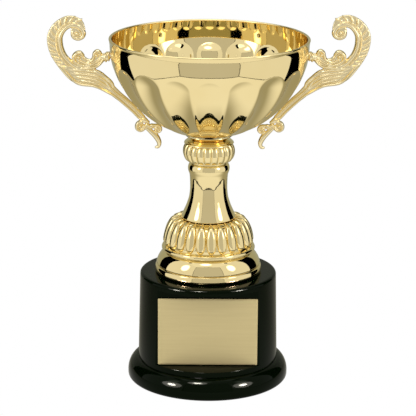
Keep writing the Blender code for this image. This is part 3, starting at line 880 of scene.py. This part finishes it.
def softbox(name, azimuth):
    """An oval lamp that looks at the stem from one side, brightest in the middle."""
    elevation, distance, aimed_at = math.radians(33), 0.34, Vector((0, 0, 0.08))
    half_width, half_height, core, rim = 0.06, 0.105, 4.5, 0.8
    finish = graded(name, 0.3, 1.0, [core] * 3, [rim] * 3)
    finish.cycles.emission_sampling = "FRONT_BACK"
    obj = studio_sheet(name, disc(), finish)
    x, y = around(azimuth, math.cos(elevation))
    direction = Vector((x, y, math.sin(elevation)))
    obj.location = aimed_at + direction * distance
    obj.rotation_euler = direction.to_track_quat("Z", "Y").to_euler()
    obj.scale = (half_width, half_height, 1)


def foot_light(name, place, radius, radiance):
    """A round lamp that only shows in the base, for a spot on its foot."""
    light = bpy.data.lights.new(name, "POINT")
    light.energy = 4 * math.pi**2 * radius**2 * radiance
    light.shadow_soft_size = radius
    light.color = (1.0, 0.84, 1.0)
    obj = bpy.data.objects.new(name, light)
    bpy.context.scene.collection.objects.link(obj)
    obj.location = place
    obj.visible_diffuse = False
    lit = bpy.data.collections.get("foot_lit") or bpy.data.collections.new("foot_lit")
    obj.light_linking.receiver_collection = lit


def foot_lamp(name, place, core, halo):
    """A bright round lamp in a wider, dimmer one, each as (radius, radiance)."""
    foot_light(f"core_{name}", place, *core)
    foot_light(f"halo_{name}", place, *halo)


def build_table():
    """The floor that the camera sees, and the table that the mirrors see: white in front,
    dimmer and olive towards the back."""
    far = 4.0
    floor = [(-far, -far, 0), (far, -far, 0), (far, far, 0), (-far, far, 0)]
    studio_sheet("floor", floor, glowing("floor_white", 1.0), "camera")
    right = [(*around(*place), 0) for place in SIDE_LINE]
    front = [(*around(*place), 0) for place in FRONT_LINE]
    left = [(-x, y, z) for x, y, z in reversed(right)]
    table = [*left, *front, *right, (SIDE_X, BACK_Y, 0), (-SIDE_X, BACK_Y, 0)]
    glow_y, stretch = -0.37, 2.0
    white_to, olive_from, white, olive = 0.25, 0.45, (1.0, 1.0, 1.0), (0.40, 0.385, 0.30)
    corners = [(x / stretch, y - glow_y, z) for x, y, z in table]
    glow = graded("table_glow", white_to, olive_from, white, olive)
    sheet = studio_sheet("table", corners, glow)
    sheet.location.y = glow_y
    sheet.scale.x = stretch


def build_side(name, sign):
    """A side panel with its softbox, and the lamp for the spot on that side of the foot."""
    line = [(sign * azimuth, distance) for azimuth, distance in SIDE_LINE]
    screen(f"panel_{name}", line, SEAM, radiance=0.92)
    dark_backing(f"gap_{name}", line)
    softbox(f"softbox_{name}", azimuth=sign * 57)
    foot_lamp(name, (sign * 0.265, -0.215, 0.148), core=(0.036, 330), halo=(0.09, 20))


def build_ceiling():
    """The top of the tent: an oval lamp in front, and a bright sheet over the back."""
    core, rim = [5.0] * 3, [1.0] * 3
    lamp = studio_sheet("ceiling_lamp", disc(), graded("ceiling_lamp", 0.2, 1.0, core, rim))
    lamp.location = (-0.04, -0.23, TENT_HEIGHT - 0.004)
    lamp.scale = (0.12, 0.08, 1)
    front_x, bright_x = 0.31, 0.245
    front_y, side_front_y, bright_y = -0.41, -0.37, -0.12
    ceiling("ceiling_front", -front_x, front_x, front_y, bright_y, radiance=1.0)
    ceiling("top_lamp", -bright_x, bright_x, bright_y, BACK_Y, radiance=1.8)
    for name, sign in (("left", -1), ("right", 1)):
        side_x = sign * SIDE_X
        ceiling(f"ceiling_{name}", sign * front_x, side_x, side_front_y, SIDE_Y, radiance=0.92)
        ceiling(f"corner_{name}", sign * bright_x, side_x, SIDE_Y, BACK_Y, radiance=0.9)


def build_world():
    """White behind the floor for the camera, and black for every reflection."""
    world = bpy.data.worlds.new("studio_world")
    bpy.context.scene.world = world
    world.use_nodes = True
    nodes, links = world.node_tree.nodes, world.node_tree.links
    background = nodes["Background"]
    path = nodes.new("ShaderNodeLightPath")
    links.new(path.outputs["Is Camera Ray"], background.inputs["Strength"])
    background.inputs["Color"].default_value = (1, 1, 1, 1)


def build_studio():
    """A white table in a tent of pale panels, open in black at both sides."""
    build_table()
    olive = (0.98, 1.0, 0.80)
    back = ((-SIDE_X, BACK_Y), (SIDE_X, BACK_Y))
    wall("panel_back", *back, SEAM, radiance=0.42, colour=olive)
    screen("panel_front", FRONT_LINE, SEAM, radiance=0.63)
    past_the_corners = [(-34, 0.46), *FRONT_LINE, (34, 0.46)]
    dark_backing("gap_front", past_the_corners)
    build_side("left", -1)
    build_side("right", 1)
    foot_lamp("top", (-0.11, -0.306, 0.50), core=(0.046, 300), halo=(0.11, 20))
    build_ceiling()
    build_world()


def build_camera():
    """A long lens, well in front of the cup and looking down at its middle."""
    distance, pitch, roll = 1.3175, math.radians(16), math.radians(0.38)
    target = Vector((0, 0, 0.1135))
    camera = bpy.data.cameras.new("camera")
    camera.lens = 177.3
    camera.sensor_width = 36
    camera.shift_x = -0.0013
    obj = bpy.data.objects.new("camera", camera)
    bpy.context.scene.collection.objects.link(obj)
    towards = Vector((0, -math.cos(pitch), math.sin(pitch)))
    turn = Matrix.Rotation(math.pi / 2 - pitch, 4, "X") @ Matrix.Rotation(roll, 4, "Z")
    obj.matrix_world = Matrix.Translation(target + towards * distance) @ turn
    bpy.context.scene.camera = obj


# ------------------------------------------------------------------ the trophy


def add(piece, node, finish):
    """Puts a finished piece on the trophy in the place of its CAD node."""
    piece.data.materials.clear()
    piece.data.materials.append(finish)
    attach(piece, "root")
    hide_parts(node)


def repaint(node, finish):
    """Gives a CAD node that stays its finished material."""
    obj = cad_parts[node]
    obj.data.materials.clear()
    obj.data.materials.append(finish)


def build_trophy():
    mirror, casting = mirror_gold(), cast_gold()
    add(make_bowl(), "bowl", mirror)
    for side, sign in (("left", -1), ("right", 1)):
        add(make_handle(side, sign), f"handle_{side}", casting)
    add(make_neck_ring(), "neck_ring", mirror)
    add(make_knob(), "knob", mirror)
    add(make_column(), "column", mirror)
    add(make_dome(), "petal_dome", mirror)
    add(make_flange(), "foot_flange", mirror)
    moulding = make_base()
    add(moulding, "base", black_gloss())
    bpy.data.collections["foot_lit"].objects.link(moulding)
    add(make_plate(), "name_plate", satin_gold())

    bright = steel("zinc_steel", (0.62, 0.61, 0.58), 0.25, 0.4)
    add(make_nut("bowl_nut_hex", "bowl_nut"), "bowl_nut", bright)
    add(make_nut("base_nut_hex", "base_nut"), "base_nut", bright)
    add(make_rod(), "tie_rod", bright)
    for side in ("left", "right"):
        for row, sizes in SCREWS.items():
            node = f"handle_screw_{row}_{side}"
            add(make_screw(f"pan_head_{row}_{side}", node, **sizes), node, bright)
        repaint(f"handle_washer_{side}", bright)
    for node in ("base_washer", "base_lock_washer", "bowl_washer"):
        repaint(node, bright)
    repaint("base_weight", cast_iron())
    repaint("felt_pad", felt())
    repaint("plate_tape", foam())


bpy.context.scene.view_settings.view_transform = "Standard"
bpy.context.scene.cycles.glossy_bounces = 10  # for the bowl's inside, which mirrors itself
build_camera()
build_studio()
build_trophy()
